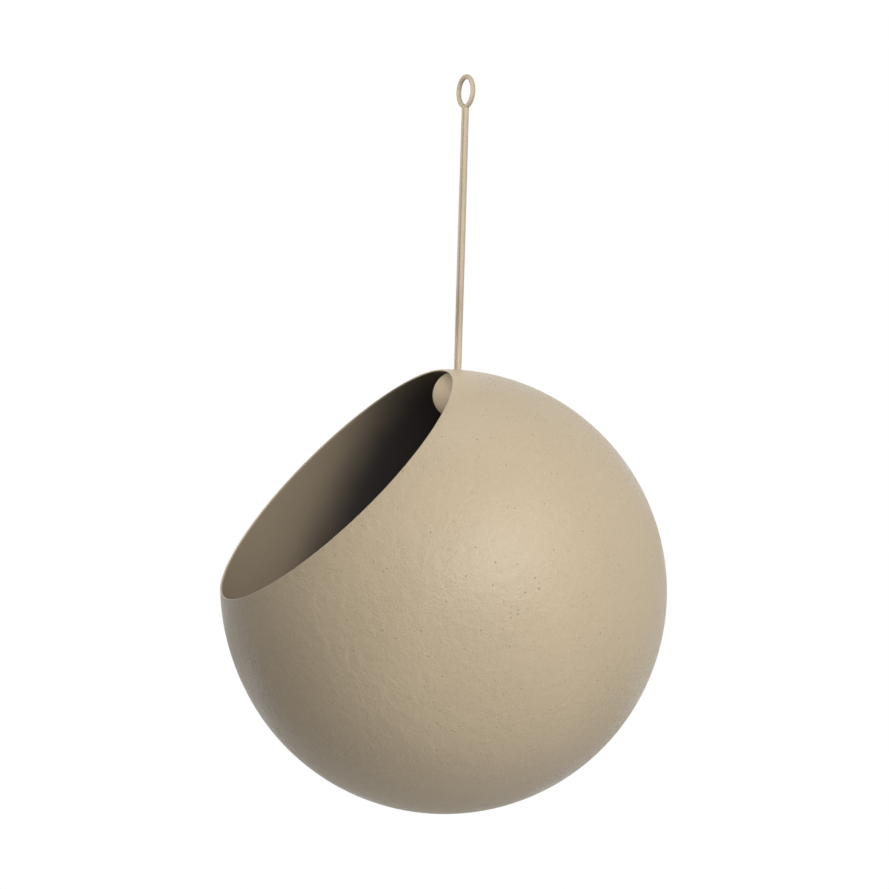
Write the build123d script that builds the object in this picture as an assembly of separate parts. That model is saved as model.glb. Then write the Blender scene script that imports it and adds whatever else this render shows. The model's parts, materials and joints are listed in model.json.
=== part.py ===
# Hanging planter: a ball-shaped steel pot with a slanted round mouth, hung on one doubled wire.
# The middle of the wire is the eye that goes over a ceiling hook. Its two legs run side by side
# through a hole just behind the top of the pot's rim and into a bored ball. Their ends are splayed
# in the ball's counterbore, so the wire holds the ball and the ball holds the pot. The ball turns
# about the wire, and the pot tilts on the ball as on the seat of a ball joint.
#
# The origin is where the hook bears on the inside of the eye. +Z is up, the mouth faces -X and up,
# and the pot hangs at the angle that it takes by itself. Lengths are millimetres, angles degrees.
from build123d import *

import math
import os

# Pot: a spun sphere, trimmed square to its wall at the mouth
pot_diameter = 210.0
pot_wall = 1.0
mouth_diameter = 146.0  # across the crest of the rounded lip
mouth_tilt = 45.9  # the mouth's axis from the vertical
hole_diameter = 9.0  # where the hanger goes in
hole_from_rim = 9.8  # from the lip's crest to the middle of that hole, along the wall

# Hanger: one wire, bent double
wire_diameter = 2.3
eye_inner_diameter = 11.8
neck_bend_radius = 2.5  # centre line, where the eye closes into the legs
leg_gap = 0.1
hanger_reach = 150.0  # from the hook's bearing point to the middle of the ball
hanger_lean = 1.8  # the legs from the vertical, away from the mouth
eye_turn = -81.0  # the eye's plane about the legs, from the pot's plane of symmetry
end_bend_radius = 2.3  # centre line, where each leg splays under the ball
end_length = 1.2  # straight wire past that bend

# Ball: turned, with a bore for the legs and a counterbore for their splayed ends
ball_diameter = 23.0
counterbore_floor = 5.0  # below the middle of the ball
bore_clearance = 0.05  # radial, so that the ball turns on the pair of legs
end_clearance = 0.3  # between the splayed ends and the counterbore
seat_clearance = 0.3  # between the ball and the edge of the pot's hole

pot_radius = pot_diameter / 2
inner_radius = pot_radius - pot_wall
wall_middle_radius = pot_radius - pot_wall / 2
hole_radius = hole_diameter / 2
wire_radius = wire_diameter / 2
ball_radius = ball_diameter / 2

# Angles from the mouth's axis, seen from the middle of the pot
crest_angle = math.degrees(math.asin(mouth_diameter / 2 / wall_middle_radius))
edge_angle = crest_angle + math.degrees(pot_wall / 2 / wall_middle_radius)
hole_angle = crest_angle + math.degrees(hole_from_rim / wall_middle_radius)

# The legs' centre lines, and what the pair sweeps as the ball turns about it
leg_offset = (wire_diameter + leg_gap) / 2
pair_radius = leg_offset + wire_radius
bore_radius = pair_radius + bore_clearance

# The splayed ends, and the counterbore that holds them
end_inner_bend = end_bend_radius - wire_radius
bend_start = counterbore_floor - end_inner_bend + end_clearance
end_reach = leg_offset + end_bend_radius + end_length
counterbore_radius = math.hypot(end_reach, wire_radius) + end_clearance

# The ball stands this far from the pot's middle when it bears on the edge of the hole
hole_edge_height = math.sqrt(inner_radius**2 - hole_radius**2)
ball_to_edge = math.sqrt((ball_radius + seat_clearance) ** 2 - hole_radius**2)
pot_to_ball = hole_edge_height - ball_to_edge

# Places at rest: the hanger leans about the hook, and the pot hangs from the ball
hanger_place = Rot(Y=hanger_lean)
ball_place = hanger_place * Pos(Z=-hanger_reach)
pot_place = Pos(ball_place.position) * Rot(Y=hole_angle - mouth_tilt) * Pos(Z=-pot_to_ball)


def pot_shell():
    """The sphere's wall turned about the mouth's axis, with a rounded lip, pierced for the hanger."""
    outer = CenterArc((0, 0), pot_radius, -90, 180 - edge_angle)
    inner = CenterArc((0, 0), inner_radius, -90, 180 - edge_angle)
    across = Vector(math.sin(math.radians(edge_angle)), math.cos(math.radians(edge_angle)))
    crest = across * wall_middle_radius + Vector(-across.Y, across.X) * (pot_wall / 2)
    lip = ThreePointArc(outer @ 1, crest, inner @ 1)
    bottom = Line(inner @ 0, outer @ 0)
    wall = revolve(make_face(Plane.XZ * Curve([outer, lip, inner, bottom])), Axis.Z)
    punch = Cylinder(hole_radius, pot_wall + hole_diameter)
    pierced = wall - Rot(Y=hole_angle) * Pos(Z=wall_middle_radius) * punch
    return pot_place * Rot(Y=-hole_angle) * pierced


def hanger_route():
    """The wire's centre line in the plane of the eye: the hook bears at (0, 0), the legs run down."""
    eye_radius = eye_inner_diameter / 2 + wire_radius
    eye_middle = Vector(0, -eye_inner_diameter / 2)
    neck_x = leg_offset + neck_bend_radius
    neck_drop = math.sqrt((eye_radius + neck_bend_radius) ** 2 - neck_x**2)
    neck_middle = eye_middle + Vector(neck_x, -neck_drop)
    neck_turn = math.degrees(math.atan2(neck_drop, neck_x))
    neck = CenterArc(neck_middle, neck_bend_radius, 180, -neck_turn)
    eye_end = neck @ 1
    eye_top = eye_middle + Vector(0, eye_radius)
    eye = ThreePointArc(Vector(-eye_end.X, eye_end.Y), eye_top, eye_end)
    leg_foot = Vector(leg_offset, -hanger_reach - bend_start)
    leg = Line(neck @ 0, leg_foot)
    splay = CenterArc(leg_foot + Vector(end_bend_radius, 0), end_bend_radius, 180, 90)
    end = Line(splay @ 1, (splay @ 1) + Vector(end_length, 0))
    right = Curve([neck, leg, splay, end])
    return Plane.XZ * Curve([eye, *right.edges(), *mirror(right, Plane.YZ).edges()])


def hanger_wire():
    """One round wire along that route, with the eye turned and the whole hanger leaning."""
    route = Wire(hanger_route().edges())
    section = Plane(route @ 0, z_dir=route % 0) * Circle(wire_radius)
    return hanger_place * Rot(Z=eye_turn) * sweep(section, path=route)


def seat_ball():
    """A turned ball: the legs' bore opens through a chamfer into the counterbore of their ends."""
    top = math.sqrt(ball_radius**2 - bore_radius**2)
    mouth = -math.sqrt(ball_radius**2 - counterbore_radius**2)
    inside = Polyline(
        (bore_radius, top),
        (bore_radius, end_inner_bend - counterbore_floor),
        (bore_radius + end_inner_bend, -counterbore_floor),
        (counterbore_radius, -counterbore_floor),
        (counterbore_radius, mouth),
    )
    outside = ThreePointArc(inside @ 1, (ball_radius, 0), inside @ 0)
    return ball_place * revolve(make_face(Plane.XZ * Curve([inside, outside])), Axis.Z)


os.makedirs("parts", exist_ok=True)
for make in (pot_shell, hanger_wire, seat_ball):
    export_step(make(), f"parts/{make.__name__}.step")
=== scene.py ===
# %% [markdown]
# # A hanging planter
#
# The planter is a ball-shaped pot of spun sheet steel with a slanted round mouth. It hangs on one
# steel wire bent double: the middle of the wire is the eye for a hook, and its two legs run side by
# side through a small hole behind the pot's rim and into a ball that carries the pot from inside.
# All three have one warm sand powder coat. This lesson makes each of them again as a smooth mesh
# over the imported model, gives it its finish, and lights it as a product on a white ground.
#
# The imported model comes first. It is the fixed frame: metres, +Z up, the hook bears on the eye at
# the origin, and the mouth faces -X and up.

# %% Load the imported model
import json
import math

import bmesh
import bpy
from mathutils import Matrix, Vector


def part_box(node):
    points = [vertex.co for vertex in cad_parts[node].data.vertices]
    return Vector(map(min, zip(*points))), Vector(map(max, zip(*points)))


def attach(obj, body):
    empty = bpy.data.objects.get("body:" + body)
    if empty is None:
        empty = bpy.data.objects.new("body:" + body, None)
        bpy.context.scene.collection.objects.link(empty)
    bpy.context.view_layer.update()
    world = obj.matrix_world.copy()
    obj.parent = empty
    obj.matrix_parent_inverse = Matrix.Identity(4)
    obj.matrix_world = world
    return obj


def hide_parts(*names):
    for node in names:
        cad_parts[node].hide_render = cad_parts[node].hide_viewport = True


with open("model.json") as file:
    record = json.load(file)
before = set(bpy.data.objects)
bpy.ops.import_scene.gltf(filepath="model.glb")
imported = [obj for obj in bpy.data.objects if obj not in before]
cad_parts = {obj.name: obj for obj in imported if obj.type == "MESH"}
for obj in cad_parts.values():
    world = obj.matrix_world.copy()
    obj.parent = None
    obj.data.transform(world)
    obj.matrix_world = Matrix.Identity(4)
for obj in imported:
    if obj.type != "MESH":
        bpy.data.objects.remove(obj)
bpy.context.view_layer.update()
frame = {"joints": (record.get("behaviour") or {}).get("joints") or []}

# %% [markdown]
# ## Where the pieces are
#
# Nothing is placed by eye. The ball's middle is where the model's two joints cross, the legs run
# along the axis of the swivel joint, and the pot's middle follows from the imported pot's own box,
# because a ball's box touches it on every side but the one where the mouth is cut off.

# %% Read the places from the frame
pot_radius = 0.105
pot_wall = 0.001

joints = {joint["name"]: joint for joint in frame["joints"]}
ball_middle = Vector(joints["swivel"]["pos_m"])
leg_axis = Vector(joints["swivel"]["axis"])

low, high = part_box("pot_shell")
pot_middle = Vector((high.x - pot_radius, 0, low.z + pot_radius))
print("Middle of the pot:", tuple(round(c, 5) for c in pot_middle))
print("Middle of the ball:", tuple(round(c, 5) for c in ball_middle))

# %% [markdown]
# ## The camera
#
# The planter is seen from its left front, level with the upper third of the pot, through a long
# lens, so that the ball's outline stays a true circle. A camera could be turned by three
# angles found by trial. Here one angle round the planter and one distance say it all, and the
# camera looks straight ahead, without tilt or shift.

# %% Stand the camera 20.5 degrees round to the left
view_turn = math.radians(-20.5)
towards_camera = Vector((math.sin(view_turn), -math.cos(view_turn), 0))
rightwards = Vector((math.cos(view_turn), math.sin(view_turn), 0))
upwards = Vector((0, 0, 1))

camera_distance = 1.753
camera_rise = 0.0694  # above the pot's middle
camera_left = 0.00012

camera_data = bpy.data.cameras.new("long_lens")
camera_data.lens = 150
camera_data.sensor_width = 36
camera = bpy.data.objects.new("camera", camera_data)
camera.location = (
    pot_middle + upwards * camera_rise + towards_camera * camera_distance - rightwards * camera_left
)
camera.rotation_euler = towards_camera.to_track_quat("Z", "Y").to_euler()
bpy.context.scene.collection.objects.link(camera)
bpy.context.scene.camera = camera
print("Camera at", tuple(round(c, 4) for c in camera.location))

# %% [markdown]
# ## Helpers for spun and bent pieces
#
# Each piece starts as one vertex or one ring. Spinning it sweeps an arc, a lip, a bend or a whole
# ball, so the same few operators make everything here. When a mesh is done it becomes an object
# at the origin, with its place in its vertices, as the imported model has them.

# %% Helpers: arcs, pushes and finished pieces
ANTICLOCKWISE = Vector((0, -1, 0))  # in the XZ plane, from +X towards +Z
CUBIC_MM = 1e9  # in a cubic metre


def spin_arc(bm, geometry, middle, degrees, steps, axis=ANTICLOCKWISE):
    """Sweeps vertices or edges along an arc and returns those at its end."""
    made = bmesh.ops.spin(
        bm, geom=geometry, cent=middle, axis=axis, angle=math.radians(degrees), steps=steps
    )
    has_edges = any(isinstance(g, bmesh.types.BMEdge) for g in geometry)
    kept = bmesh.types.BMEdge if has_edges else bmesh.types.BMVert
    return [g for g in made["geom_last"] if isinstance(g, kept)]


def spin_round(bm, steps):
    """Turns a whole profile once about Z, closes it on itself and points its faces outwards."""
    bmesh.ops.spin(
        bm, geom=bm.verts[:] + bm.edges[:], cent=(0, 0, 0), axis=(0, 0, 1),
        angle=2 * math.pi, steps=steps, use_merge=True,
    )
    bmesh.ops.remove_doubles(bm, verts=bm.verts[:], dist=1e-6)
    bmesh.ops.recalc_face_normals(bm, faces=bm.faces[:])


def make_piece(bm, name, sharp_degrees=50):
    """Turns a bmesh into a smooth object at the origin and says how large and how sound it is."""
    open_edges = sum(not edge.is_manifold for edge in bm.edges)
    volume = bm.calc_volume(signed=True) * CUBIC_MM
    for face in bm.faces:
        face.smooth = True
    for edge in bm.edges:
        edge.smooth = edge.calc_face_angle(0) < math.radians(sharp_degrees)
    mesh = bpy.data.meshes.new(name)
    bm.to_mesh(mesh)
    bm.free()
    piece = bpy.data.objects.new(name, mesh)
    bpy.context.scene.collection.objects.link(piece)
    print(f"{name}: {len(mesh.polygons)} faces, {open_edges} open edges, {volume:.0f} mm3")
    return piece


# %% [markdown]
# ## The pot
#
# The real pot is sheet steel spun over a former: a ball with its top cut off, an edge dressed
# round, and one coat over all of it. A UV sphere with its top deleted and a Solidify modifier
# would be near it, but its cut would follow the sphere's rings and its edge would be square. A
# profile gives both exactly: the outer wall is an arc from the bottom to the rim, the lip is half
# a circle as wide as the sheet is thick, and the inner wall is the arc back. Turned once about
# the mouth's axis, the three make one closed skin.

# %% Draw the wall's profile and turn it about the mouth's axis
mouth_radius = 0.073
mouth_tilt = 45.9  # degrees, the mouth's axis from the vertical

middle_radius = pot_radius - pot_wall / 2
crest_angle = math.degrees(math.asin(mouth_radius / middle_radius))
edge_angle = crest_angle + math.degrees(pot_wall / 2 / middle_radius)
wall_turn = 180 - edge_angle
lip_middle = Matrix.Rotation(math.radians(edge_angle), 3, "Y") @ Vector((0, 0, middle_radius))

pot = bmesh.new()
bottom = bmesh.ops.create_vert(pot, co=(0, 0, -pot_radius))["vert"]
outer_edge = spin_arc(pot, bottom, (0, 0, 0), wall_turn, 66)
inner_edge = spin_arc(pot, outer_edge, lip_middle, 180, 12)
spin_arc(pot, inner_edge, (0, 0, 0), -wall_turn, 66)
spin_round(pot, 240)
print("The mouth's lip is", round(crest_angle, 2), "degrees from the mouth's axis")

# %% [markdown]
# A trimmed shell springs open a little where its wall was cut, and on this pot the low end of the
# mouth stands about two millimetres out from the ball and lies a little lower. Proportional editing
# would do that by hand. Here each vertex near the low end is moved out and down the wall by a share
# that fades with the angle from the lip and with the angle round the mouth.

# %% Let the low end of the mouth spring open
spring_out = 0.0019
spring_down = 0.0019
spring_reach = 32  # degrees down the wall from the lip
spring_width = 6  # the higher, the narrower round the mouth

sprung = 0
for vert in pot.verts:
    from_lip = math.degrees(vert.co.angle(upwards)) - crest_angle
    round_mouth = Vector((-vert.co.x, vert.co.y, 0)).normalized().x
    if from_lip < spring_reach and round_mouth > 0:
        share = min(1, 1 - from_lip / spring_reach) ** 2 * round_mouth**spring_width
        outwards = vert.co.normalized()
        down_wall = outwards.cross(upwards).cross(outwards).normalized() * -1
        vert.co += (outwards * spring_out + down_wall * spring_down) * share
        sprung += 1
print(sprung, "vertices sprang open")

# %% [markdown]
# The hanger goes in through a drilled hole just behind the rim's highest place. Deleting faces
# would leave a ragged polygon, so a cylinder is subtracted with a Boolean modifier, and a small
# bevel breaks the two edges of the hole, as the thickness of the coat does on the real pot. Both
# modifiers are then applied, so that the piece ends as a plain mesh.

# %% Pierce the pot for the hanger
hole_radius = 0.0045
hole_from_rim = 0.0098
hole_angle = crest_angle + math.degrees(hole_from_rim / middle_radius)
hole_edge = 0.00018  # how far its edges are broken
drill_length = 0.01

hole_turn = Matrix.Rotation(math.radians(hole_angle), 4, "Y")
drill = bmesh.new()
bmesh.ops.create_cone(
    drill, cap_ends=True, segments=64, radius1=hole_radius, radius2=hole_radius,
    depth=drill_length, matrix=hole_turn @ Matrix.Translation((0, 0, middle_radius)),
)
drill_piece = make_piece(drill, "drill")
pot_piece = make_piece(pot, "spun_pot")


def apply_modifiers(piece):
    """Replaces a piece's mesh by what its modifiers make of it."""
    bpy.context.view_layer.update()
    shaped = bpy.data.meshes.new_from_object(
        piece.evaluated_get(bpy.context.evaluated_depsgraph_get())
    )
    piece.modifiers.clear()
    piece.data = shaped


pierce = pot_piece.modifiers.new("pierce", "BOOLEAN")
pierce.object = drill_piece
pierce.solver = "EXACT"
soften = pot_piece.modifiers.new("soften", "BEVEL")
soften.width = hole_edge
soften.segments = 2
soften.limit_method = "ANGLE"
soften.angle_limit = math.radians(50)
apply_modifiers(pot_piece)
bpy.data.objects.remove(drill_piece)
print("Pierced pot:", len(pot_piece.data.polygons), "faces")

# %% [markdown]
# The profile was drawn with the mouth straight up. The finished skin is turned so that the mouth
# leans towards -X by its tilt, and moved to the pot's middle. Both go into the vertices.

# %% Tilt the pot and put it in its place
pot_place = Matrix.Translation(pot_middle) @ Matrix.Rotation(math.radians(-mouth_tilt), 4, "Y")
pot_piece.data.transform(pot_place)
mouth_axis = pot_place.to_3x3() @ Vector((0, 0, 1))
print("The mouth faces", tuple(round(c, 3) for c in mouth_axis))

# %% [markdown]
# ## The hanger
#
# The hanger is one 2.3 mm wire. A curve with a round bevel would draw it quickly, but its bends
# would depend on handles. A ring that is pushed along the straights and spun through the bends
# goes the way the wire went through the bending tool, and each bend has its real radius. It
# starts at one splayed end under the ball, goes up a leg, through the neck, round the eye, and
# back down to the other end.

# %% Bend the wire
wire_radius = 0.00115
eye_inner_radius = 0.0059
neck_radius = 0.0014
leg_gap = 0.0001
end_radius = 0.0023
end_length = 0.0012
counterbore_floor = 0.005  # below the ball's middle
end_clearance = 0.0003
hanger_reach = ball_middle.length

leg_offset = wire_radius + leg_gap / 2
eye_radius = eye_inner_radius + wire_radius
neck_across = leg_offset + neck_radius
neck_drop = math.sqrt((eye_radius + neck_radius) ** 2 - neck_across**2)
neck_height = -eye_inner_radius - neck_drop
neck_turn = math.degrees(math.atan2(neck_drop, neck_across))
foot_height = -hanger_reach - counterbore_floor + (end_radius - wire_radius) - end_clearance
foot_across = leg_offset + end_radius


def push(bm, ring, step, times=1):
    """Pushes a ring of edges straight on, in equal steps, and returns the last ring."""
    for _ in range(times):
        made = bmesh.ops.extrude_edge_only(bm, edges=ring)["geom"]
        moved = [g for g in made if isinstance(g, bmesh.types.BMVert)]
        bmesh.ops.translate(bm, verts=moved, vec=Vector(step) / times)
        edges = [g for g in made if isinstance(g, bmesh.types.BMEdge)]
        ring = [edge for edge in edges if set(edge.verts) <= set(moved)]
    return ring


wire = bmesh.new()
start = Matrix.Translation((foot_across + end_length, 0, foot_height - end_radius))
bmesh.ops.create_circle(
    wire, cap_ends=True, segments=24, radius=wire_radius,
    matrix=start @ Matrix.Rotation(math.radians(-90), 4, "Y"),
)
leg_length = neck_height - foot_height
ring = push(wire, wire.edges[:], (-end_length, 0, 0))
ring = spin_arc(wire, ring, (foot_across, 0, foot_height), -90, 12)
ring = push(wire, ring, (0, 0, leg_length), 40)
ring = spin_arc(wire, ring, (neck_across, 0, neck_height), -neck_turn, 12)
ring = spin_arc(wire, ring, (0, 0, -eye_inner_radius), 180 + 2 * neck_turn, 80)
ring = spin_arc(wire, ring, (-neck_across, 0, neck_height), -neck_turn, 12)
ring = push(wire, ring, (0, 0, -leg_length), 40)
ring = spin_arc(wire, ring, (-foot_across, 0, foot_height), -90, 12)
ring = push(wire, ring, (-end_length, 0, 0))
bmesh.ops.edgeloop_fill(wire, edges=ring)
bmesh.ops.remove_doubles(wire, verts=wire.verts[:], dist=1e-7)
bmesh.ops.recalc_face_normals(wire, faces=wire.faces[:])
print("Each leg is", round(leg_length * 1000, 1), "mm long")

# %% [markdown]
# Two straight legs would look like a rod. The real pair springs apart by a hair between the neck
# and the ball, which closes it again, so each vertex of a leg moves outwards by part of a sine.
# The cut ends lose their sharp edge to a small bevel. The coat gathers where the eye closes on the
# legs and rounds the bottom of its hole, so a small flattened ball is set there. Then the eye is
# turned to its plane and the whole hanger leans, as it hangs.

# %% Let the legs spring apart, dress the ends and lean the hanger
leg_spring = 0.00022
eye_turn = -82.5  # degrees, from the pot's plane of symmetry
end_edge = 0.0003  # how far the cut ends' edges are broken
web_height = neck_height + 0.0010
web_size = (0.0009, 0.0008, 0.0009)

for vert in wire.verts:
    along = (vert.co.z - foot_height) / leg_length
    if 0 < along < 1:
        vert.co.x += math.copysign(leg_spring, vert.co.x) * math.sin(math.pi * along) ** 2

end_edges = [edge for edge in wire.edges if edge.calc_face_angle(0) > math.radians(60)]
bmesh.ops.bevel(
    wire, geom=end_edges, offset=end_edge, offset_type="OFFSET", segments=2, profile=0.5,
    affect="EDGES", material=-1,
)
bmesh.ops.create_uvsphere(
    wire, u_segments=20, v_segments=12, radius=1.0,
    matrix=Matrix.Translation((0, 0, web_height)) @ Matrix.Diagonal((*web_size, 1)),
)
lean = (-leg_axis).angle(Vector((0, 0, -1)))
hanger_place = Matrix.Rotation(lean, 4, "Y") @ Matrix.Rotation(math.radians(eye_turn), 4, "Z")
bmesh.ops.transform(wire, matrix=hanger_place, verts=wire.verts[:])
hanger_piece = make_piece(wire, "bent_wire_hanger")
print("Bevelled end edges:", len(end_edges), "lean in degrees:", round(math.degrees(lean), 3))

# %% [markdown]
# ## The ball
#
# The ball is turned from bar, with a bore for the legs and a wider counterbore under it where
# their splayed ends turn. It is a profile spun once, like the pot: down the bore, out along the
# chamfer and the counterbore's floor, down to the ball's surface, and round the outside back to
# the top. The edges that a lathe leaves are broken with a bevel.

# %% Turn the ball
ball_radius = 0.0115
bore_radius = leg_offset + wire_radius + 0.00005
counterbore_radius = math.hypot(foot_across + end_length, wire_radius) + end_clearance
chamfer = end_radius - wire_radius
ball_top = math.sqrt(ball_radius**2 - bore_radius**2)
ball_mouth = math.sqrt(ball_radius**2 - counterbore_radius**2)
lathe_edge = 0.0002  # how far the lathe's edges are broken

turned = bmesh.new()
verts = bmesh.ops.create_vert(turned, co=(bore_radius, 0, ball_top))["vert"]
for stop in (
    (bore_radius, 0, chamfer - counterbore_floor),
    (bore_radius + chamfer, 0, -counterbore_floor),
    (counterbore_radius, 0, -counterbore_floor),
    (counterbore_radius, 0, -ball_mouth),
):
    step = Vector(stop) - verts[0].co
    verts = bmesh.ops.extrude_vert_indiv(turned, verts=verts)["verts"]
    bmesh.ops.translate(turned, verts=verts, vec=step)
at_bore = math.asin(bore_radius / ball_radius)
at_counterbore = math.asin(counterbore_radius / ball_radius)
outer_turn = 180 - math.degrees(at_bore + at_counterbore)
spin_arc(turned, verts, (0, 0, 0), outer_turn, 48)
bmesh.ops.remove_doubles(turned, verts=turned.verts[:], dist=1e-6)
spin_round(turned, 96)
lathe_edges = [edge for edge in turned.edges if edge.calc_face_angle(0) > math.radians(30)]
bmesh.ops.bevel(
    turned, geom=lathe_edges, offset=lathe_edge, offset_type="OFFSET", segments=2, profile=0.5,
    affect="EDGES", material=-1, clamp_overlap=True,
)
ball_place = Matrix.Translation(ball_middle) @ Matrix.Rotation(lean, 4, "Y")
bmesh.ops.transform(turned, matrix=ball_place, verts=turned.verts[:])
ball_piece = make_piece(turned, "turned_ball")

# %% [markdown]
# ## The powder coat
#
# Powder coat is sprayed on dry and melted on. It keeps a fine orange peel, a few grains that did
# not melt flat stand up from it, and its colour is even but never quite flat. All three pieces
# and the inside of the pot have this coat, each a little differently, so the effect is one node
# group with named inputs. The group gives out a colour, a roughness and a height. The shader
# stays in each material, where its gloss is set.

# %% Build the powder coat's node group
coat = bpy.data.node_groups.new("powder_coat", "ShaderNodeTree")
for name, kind, value in (
    ("Paint", "NodeSocketColor", (0.5, 0.4, 0.3, 1)),
    ("Grain size", "NodeSocketFloat", 0.0013),
    ("Mottle and shade", "NodeSocketFloat", 0.05),
    ("Speckle", "NodeSocketFloat", 0.3),
    ("Flecks", "NodeSocketFloat", 0.1),
    ("Gloss spread", "NodeSocketFloat", 0.06),
    ("Base roughness", "NodeSocketFloat", 0.5),
):
    socket = coat.interface.new_socket(name, in_out="INPUT", socket_type=kind)
    socket.default_value = value
for name, kind in (
    ("Color", "NodeSocketColor"), ("Roughness", "NodeSocketFloat"), ("Height", "NodeSocketFloat")
):
    coat.interface.new_socket(name, in_out="OUTPUT", socket_type=kind)


def node(tree, kind, inputs=None, **settings):
    """Adds a node, sets its options, and gives each named input a value or a link."""
    made = tree.nodes.new(kind)
    for name, value in settings.items():
        setattr(made, name, value)
    for name, value in (inputs or {}).items():
        if isinstance(value, bpy.types.NodeSocket):
            tree.links.new(value, made.inputs[name])
        else:
            made.inputs[name].default_value = value
    return made


def reckon(tree, operation, *values):
    """Adds a Math node over values or links, in their order, and returns its result."""
    return node(tree, "ShaderNodeMath", dict(enumerate(values)), operation=operation).outputs[0]


given = node(coat, "NodeGroupInput").outputs
place = node(coat, "ShaderNodeTexCoord").outputs["Object"]
fineness = reckon(coat, "DIVIDE", 1.0, given["Grain size"])

# %% [markdown]
# The height is built from three noises, from small to large: the peel itself, a slower swell that
# keeps the peel from looking printed, and grains. A grain is the middle of a Voronoi cell, and
# only the few cells whose random colour is high enough get one.

# %% The coat's height: peel, swell and grains
swell_fineness = 0.22  # against the peel's
swell_depth = 1.6
grain_fineness = 0.6

peel = node(
    coat, "ShaderNodeTexNoise",
    {"Vector": place, "Scale": fineness, "Detail": 2.0, "Roughness": 0.55},
).outputs["Fac"]
swell_scale = reckon(coat, "MULTIPLY", fineness, swell_fineness)
swell = node(
    coat, "ShaderNodeTexNoise",
    {"Vector": place, "Scale": swell_scale, "Detail": 1.0, "Roughness": 0.5},
).outputs["Fac"]
grain_scale = reckon(coat, "MULTIPLY", fineness, grain_fineness)
cells = node(
    coat, "ShaderNodeTexVoronoi", {"Vector": place, "Scale": grain_scale, "Randomness": 1.0}
)
draws = node(coat, "ShaderNodeSeparateColor", {"Color": cells.outputs["Color"]}).outputs
chosen = node(
    coat, "ShaderNodeMapRange", {"Value": draws["Red"], "From Min": 0.88, "From Max": 0.99}
).outputs["Result"]
dome = node(
    coat, "ShaderNodeMapRange",
    {"Value": cells.outputs["Distance"], "From Min": 0.28, "From Max": 0.0},
    interpolation_type="SMOOTHSTEP",
).outputs["Result"]
grains = reckon(coat, "MULTIPLY", chosen, dome)
peel_and_swell = reckon(coat, "MULTIPLY_ADD", swell, swell_depth, peel)
height = reckon(coat, "MULTIPLY_ADD", grains, given["Speckle"], peel_and_swell)

# %% [markdown]
# The colour follows the height a little: the hollows of the peel are darker, a painted shade for the
# shade that their crests cast. Slow clouds over several centimetres stand for the uneven thickness of
# the coat, and some of the grains are paler.

# %% The coat's colour and roughness
clouds = node(
    coat, "ShaderNodeTexNoise", {"Vector": place, "Scale": 22.0, "Detail": 2.0}
).outputs["Fac"]
spread = reckon(coat, "SUBTRACT", reckon(coat, "ADD", clouds, peel), 1.0)
# the peel's part of this is painted shade in its hollows, the clouds' part the coat's own uneven tone
factor = reckon(coat, "MULTIPLY_ADD", spread, given["Mottle and shade"], 1.0)
pale = node(
    coat, "ShaderNodeMapRange", {"Value": draws["Green"], "From Min": 0.84, "From Max": 0.94}
).outputs["Result"]
fleck = reckon(coat, "MULTIPLY", pale, dome)
flecked = reckon(coat, "MULTIPLY_ADD", fleck, given["Flecks"], factor)
tinted = node(
    coat, "ShaderNodeVectorMath", {0: given["Paint"], "Scale": flecked}, operation="SCALE"
).outputs["Vector"]
roughness = reckon(coat, "MULTIPLY_ADD", spread, given["Gloss spread"], given["Base roughness"])
node(coat, "NodeGroupOutput", {"Color": tinted, "Roughness": roughness, "Height": height})
print("The powder coat group has", len(coat.nodes), "nodes")

# %% [markdown]
# ## The five finishes
#
# The outside of the pot has the coarsest peel, and inside it is smoother. Round the outer edge of the
# lip the coat is smooth and paler, and the paler colour is a painted highlight where the lip catches
# the light. The wire and the ball are small parts that got a thin even coat. Each finish is a
# material with the same group and its own values.

# %% Make the finishes
def coated(name, values, peel_depth, specular=0.3):
    """A powder-coated metal: the group's colour, roughness and height, and a plain shader."""
    material = bpy.data.materials.new(name)
    material.use_nodes = True
    tree = material.node_tree
    shader = tree.nodes["Principled BSDF"]
    grain = node(tree, "ShaderNodeGroup", values, node_tree=coat)
    bump = node(
        tree, "ShaderNodeBump",
        {"Height": grain.outputs["Height"], "Distance": peel_depth, "Strength": 1.0},
    )
    tree.links.new(grain.outputs["Color"], shader.inputs["Base Color"])
    tree.links.new(grain.outputs["Roughness"], shader.inputs["Roughness"])
    tree.links.new(bump.outputs["Normal"], shader.inputs["Normal"])
    shader.inputs["Specular IOR Level"].default_value = specular
    return material


sand = (0.54, 0.438, 0.30, 1)
pale_sand = (0.60, 0.49, 0.345, 1)
# a painted highlight: the lip's outer edge is paler where it catches the light
lip_highlight_sand = (0.68, 0.57, 0.42, 1)
# a painted shade: the pot's sand, made darker over the whole wire
shaded_wire_sand = (0.47, 0.385, 0.28, 1)

outside_coat = coated(
    "pot_outside_coat",
    {"Paint": sand, "Grain size": 0.001, "Mottle and shade": 0.12, "Speckle": 2.4, "Flecks": 0.3,
     "Gloss spread": 0.4, "Base roughness": 0.36},
    peel_depth=0.00022,
    specular=0.25,
)
# the lip: a smoother coat, and a paler colour that is a painted highlight
lip_coat_and_highlight = coated(
    "pot_lip_coat",
    {"Paint": lip_highlight_sand, "Grain size": 0.0011, "Mottle and shade": 0.3, "Speckle": 0.3, "Flecks": 0.1,
     "Gloss spread": 0.1, "Base roughness": 0.35},
    peel_depth=0.00003,
)
inside_coat_painted_shade = coated(
    "pot_inside_coat",
    {"Paint": pale_sand, "Grain size": 0.0016, "Mottle and shade": 0.1, "Speckle": 0.5, "Gloss spread": 0.05,
     "Base roughness": 0.65},
    peel_depth=0.00003,
    specular=0.15,
)
wire_coat_and_shade = coated(
    "hanger_wire_coat",
    {"Paint": shaded_wire_sand, "Grain size": 0.0008, "Mottle and shade": 0.35, "Speckle": 0.6, "Flecks": 0.2,
     "Gloss spread": 0.1, "Base roughness": 0.55},
    peel_depth=0.00006,
)
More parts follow.
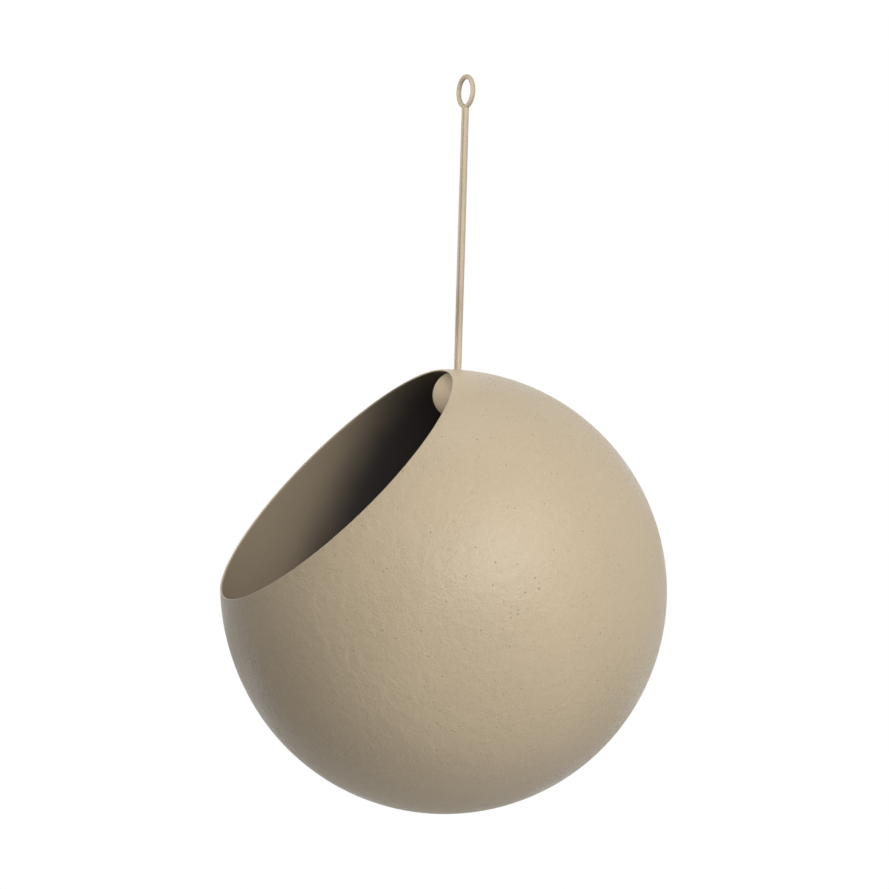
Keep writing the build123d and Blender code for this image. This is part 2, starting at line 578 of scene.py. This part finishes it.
ball_coat = coated(
    "seat_ball_coat",
    {"Paint": sand, "Grain size": 0.0012, "Mottle and shade": 0.1, "Speckle": 0.3, "Gloss spread": 0.05,
     "Base roughness": 0.45},
    peel_depth=0.00001,
    specular=0.17,
)

# %% [markdown]
# Deep inside the pot, under its top and towards the back, the wall lies in shade, and that shade is
# painted into the inside coat's colour. Near the mouth's low end the coat keeps its own colour, and
# towards the back it goes over into a near-black painted shade. Painting that on by hand would need
# an image, so the colour goes from one to the other along X instead, from the pot's middle, a little
# later higher up, and soft clouds break the line where it changes.

# %% Paint shade into the inside coat towards the back of the pot
# the near-black painted shade deep inside the pot, under its top and at the back
painted_shade_colour = (0.122, 0.106, 0.104, 1)
shade_starts_at = -0.50 * pot_radius
shade_darkest_at = -0.13 * pot_radius
shade_lean = -0.32  # the line where the coat fades leans over by this much
cloud_scale = 30.0
cloud_reach = 0.01  # metres by which the clouds move that line

inside = inside_coat_painted_shade.node_tree
inside_shader = inside.nodes["Principled BSDF"]
coat_colour = inside_shader.inputs["Base Color"].links[0].from_socket
from_middle = node(
    inside, "ShaderNodeMapping",
    {"Vector": node(inside, "ShaderNodeTexCoord").outputs["Object"], "Location": -pot_middle},
).outputs["Vector"]
drift = node(
    inside, "ShaderNodeTexNoise", {"Vector": from_middle, "Scale": cloud_scale, "Detail": 3.0}
).outputs["Fac"]
across = node(
    inside, "ShaderNodeVectorMath", {0: from_middle, 1: (1.0, 0.0, shade_lean)},
    operation="DOT_PRODUCT",
).outputs["Value"]
wandering = reckon(inside, "MULTIPLY_ADD", drift, cloud_reach, across)
# one where the coat keeps its colour, nought where the painted shade is full
unshaded_share = node(
    inside, "ShaderNodeMapRange",
    {"Value": wandering, "From Min": shade_starts_at, "From Max": shade_darkest_at, "To Min": 1.0, "To Max": 0.0},
    interpolation_type="SMOOTHSTEP",
).outputs["Result"]
shaded_colour = node(
    inside, "ShaderNodeMix", {0: unshaded_share, 6: painted_shade_colour, 7: coat_colour}, data_type="RGBA"
).outputs[2]
inside.links.new(shaded_colour, inside_shader.inputs["Base Color"])
print("The inside coat thins between", round(shade_starts_at, 4), "and", round(shade_darkest_at, 4), "m")

# %% [markdown]
# Which face of the pot takes which finish is read from where it points. Outside, a face points away
# from the pot's middle, inside towards it, and round the lip it turns from the one to the other. The
# paler coat with its painted highlight is on the outer half of the lip, and the inner half has the
# coat of the inside.

# %% Put the finishes on
lip_highlight_from = 0.92  # the cosine of the angle between a face and the pot's radius
inside_from = 0.1

pot_piece.data.materials.clear()
for finish in (outside_coat, lip_coat_and_highlight, inside_coat_painted_shade):
    pot_piece.data.materials.append(finish)
counts = [0, 0, 0]
for face in pot_piece.data.polygons:
    outwards = face.normal.dot((face.center - pot_middle).normalized())
    face.material_index = 0 if outwards > lip_highlight_from else 1 if outwards > inside_from else 2
    counts[face.material_index] += 1
hanger_piece.data.materials.append(wire_coat_and_shade)
ball_piece.data.materials.append(ball_coat)
print("Faces of the pot outside, on the rubbed lip and inside:", counts)

# %% [markdown]
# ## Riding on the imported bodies
#
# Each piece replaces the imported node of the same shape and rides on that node's body, so it moves
# when the pot swivels or tilts.

# %% Tie each piece to its body
for piece, body, packed, slot in (
    (pot_piece, "pot", "pot_shell", "pot_coat"),
    (hanger_piece, "hanger", "hanger_wire", "hanger_coat"),
    (ball_piece, "ball", "seat_ball", "ball_coat"),
):
    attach(piece, body)
    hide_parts(packed)
    print(piece.name, "rides on", body)

# %% [markdown]
# ## The studio
#
# The planter hangs in front of white. The world is white to the camera and in reflections, but
# lights the planter only softly, through the Light Path node. A pale floor a metre below the pot
# takes its shadow and sends some light back up. Under lamps that suit the planter such a floor
# would look grey, so the camera sees it mixed with white, and the lamps stay as they are.

# %% White surroundings and a pale floor
def seen_or_reflected(tree):
    """One for what the camera sees, straight, mirrored or through glass, and nought for light."""
    path = node(tree, "ShaderNodeLightPath").outputs
    bent = reckon(tree, "MAXIMUM", path["Is Glossy Ray"], path["Is Transmission Ray"])
    return reckon(tree, "MAXIMUM", bent, path["Is Camera Ray"])


WHITE = (1, 1, 1, 1)
soft_light = 0.08
floor_radius = 3.0
floor_drop = 1.0  # below the pot
floor_grey = (0.85, 0.85, 0.85, 1)
white_share = 0.6  # of the floor that the camera sees

world = bpy.data.worlds.new("white_studio")
bpy.context.scene.world = world
world.use_nodes = True
sky = world.node_tree
sky.nodes.clear()
seen = seen_or_reflected(sky)
soft = node(sky, "ShaderNodeBackground", {"Color": WHITE, "Strength": soft_light}).outputs[0]
white = node(sky, "ShaderNodeBackground", {"Color": WHITE, "Strength": 1.0}).outputs[0]
mixed = node(sky, "ShaderNodeMixShader", {0: seen, 1: soft, 2: white}).outputs[0]
node(sky, "ShaderNodeOutputWorld", {"Surface": mixed})

ground = bmesh.new()
bmesh.ops.create_circle(
    ground, cap_ends=True, segments=96, radius=floor_radius,
    matrix=Matrix.Translation((pot_middle.x, 0, low.z - floor_drop)),
)
floor = make_piece(ground, "floor")
floor_paint = bpy.data.materials.new("floor_paint")
floor_paint.use_nodes = True
paint = floor_paint.node_tree
matt = paint.nodes["Principled BSDF"]
matt.inputs["Base Color"].default_value = floor_grey
matt.inputs["Roughness"].default_value = 0.9
glow = node(paint, "ShaderNodeEmission", {"Color": WHITE, "Strength": 1.0}).outputs[0]
share = reckon(paint, "MULTIPLY", seen_or_reflected(paint), white_share)
surface = node(paint, "ShaderNodeMixShader", {0: share, 1: matt.outputs[0], 2: glow}).outputs[0]
paint.links.new(surface, paint.nodes["Material Output"].inputs["Surface"])
floor.data.materials.append(floor_paint)

# %% [markdown]
# Five square softboxes light the planter. Two at the camera's right light the pot's shoulder: a
# large one makes the broad shading, and a small one the gleam in which the grain of the coat
# sparkles. One near the camera fills the mouth, and those above and at the left keep the edges
# from going dull.

# %% Hang the softboxes
def hang(lamp_data, name, middle, direction, distance, watts):
    """Hangs a lamp that faces a point, from a direction given as right, up and to the camera."""
    right, up, near = direction
    away = (rightwards * right + upwards * up + towards_camera * near).normalized()
    lamp_data.energy = watts
    lamp = bpy.data.objects.new(name, lamp_data)
    lamp.location = middle + away * distance
    lamp.rotation_euler = away.to_track_quat("Z", "Y").to_euler()
    bpy.context.scene.collection.objects.link(lamp)
    print(name, "hangs at", tuple(round(c, 2) for c in lamp.location), "with", watts, "W")


for name, direction, distance, size, watts in (
    ("gleam", (0.42, 0.47, 0.78), 1.7, 0.36, 1.4),
    ("key", (0.54, 0.33, 0.77), 1.7, 1.0, 18.6),
    ("fill", (0.12, 0.25, 1.0), 2.4, 1.0, 14.2),
    ("above", (0.0, 1.0, 0.0), 1.7, 1.0, 5.2),
    ("left", (-0.7, 0.7, 0.1), 1.7, 1.0, 2.4),
):
    softbox = bpy.data.lights.new(name, "AREA")
    softbox.shape = "SQUARE"
    softbox.size = size
    hang(softbox, name, pot_middle, direction, distance, watts)

# %% [markdown]
# The ball would be lost in the dark under the rim, and the farther leg of the hanger in the nearer
# one's shadow. A photographer would send narrow beams at them from the left, one through the mouth
# and one that passes above the pot, so two small spotlights do that here.

# %% Aim narrow beams at the ball and at the hanger
for name, middle, direction, beam, blend, watts in (
    ("ball_snoot", ball_middle, (-0.6, 0.25, 0.76), 1.1, 0.5, 269.0),
    ("hanger_snoot", ball_middle * 0.31, (-0.9, 0.0, 0.43), 5.7, 0.2, 60),
):
    snoot = bpy.data.lights.new(name, "SPOT")
    snoot.spot_size = math.radians(beam)
    snoot.spot_blend = blend
    snoot.shadow_soft_size = 0.03
    hang(snoot, name, middle, direction, 1.5, watts)

# %% [markdown]
# ## Colours and the end
#
# The Standard view shows the colours as they are written here.

# %% Keep the colours plain
bpy.context.scene.view_settings.view_transform = "Standard"
